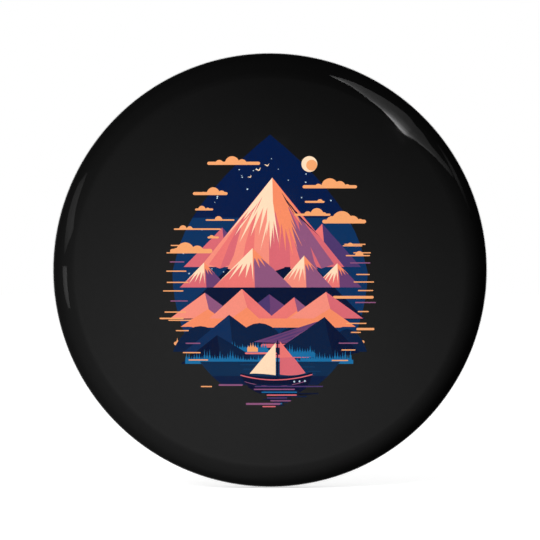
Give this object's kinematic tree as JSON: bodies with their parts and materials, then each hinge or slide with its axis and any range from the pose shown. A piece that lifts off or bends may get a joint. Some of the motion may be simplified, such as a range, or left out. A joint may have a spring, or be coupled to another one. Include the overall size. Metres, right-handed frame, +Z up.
{
  "type": "pin-back button badge",
  "caption": "Round domed button badge with a rolled rim, a printed mountain and lake picture under clear film, and a hinged pin with a turning safety catch on its back.",
  "frame": {"origin": "centre of the flat ring of the rolled back rim, which lies against the cloth", "axes": "+Z is up as the badge is worn, towards the top of the picture; +Y points out of the back, towards the wearer; the face looks along -Y"},
  "size_m": [0.058, 0.0084, 0.058],
  "materials": {
    "clear_film": "clear high gloss polyester film",
    "printed_paper": "paper printed black with a coloured picture",
    "tinplate": "tin-plated sheet steel",
    "back_steel": "tin-plated sheet steel with fine rolling grain",
    "nickel_plate": "bright nickel plate on steel"
  },
  "bodies": {
    "badge": {"clear_film": "clear_film", "printed_disc": "printed_paper", "front_shell": "tinplate", "back_plate": "back_steel", "pin_bar": "nickel_plate", "bar_rivet_left": "nickel_plate", "bar_rivet_right": "nickel_plate", "hinge_rivet": "nickel_plate"},
    "stem": {"pin_stem": "nickel_plate"},
    "catch": {"catch_barrel": "nickel_plate"}
  },
  "joints": [
    {"name": "pin_hinge", "type": "hinge", "parent": "badge", "child": "stem", "pos_m": [-0.014, 0.0002, 0], "axis": [0, 0, 1], "range_deg": [0, 110]},
    {"name": "catch_turn", "type": "hinge", "parent": "badge", "child": "catch", "pos_m": [0.0142, 0.0002, 0], "axis": [1, 0, 0], "range_deg": [0, 95]}
  ]
}
